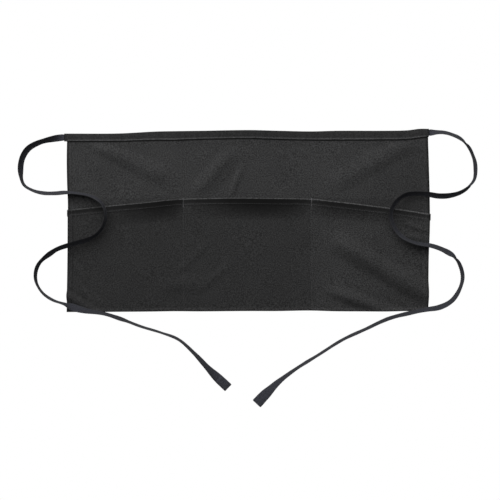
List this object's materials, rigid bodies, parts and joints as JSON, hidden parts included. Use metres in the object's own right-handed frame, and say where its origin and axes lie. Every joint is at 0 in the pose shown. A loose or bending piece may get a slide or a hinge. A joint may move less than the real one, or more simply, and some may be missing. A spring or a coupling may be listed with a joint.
{
  "type": "waist apron",
  "caption": "Short waist apron lying flat: a hemmed cloth panel turned up at the bottom into a row of open pockets, a narrow waistband and long flat ties laid loosely over it.",
  "frame": {"origin": "under the middle of the apron's own box, without its ties, on the surface that it lies on", "axes": "+X along the waistband to the apron's right as seen from its front, +Y from the bottom fold up to the waistband, +Z out of the front"},
  "size_m": [0.773, 0.4688, 0.0234],
  "materials": {
    "twill": "matte black cotton blend twill",
    "tape": "satin black twill tape"
  },
  "bodies": {
    "root": {"apron_panel": "twill", "waistband": "twill", "pocket_panel": "twill", "tie_left": "tape", "tie_right": "tape"}
  },
  "joints": []
}
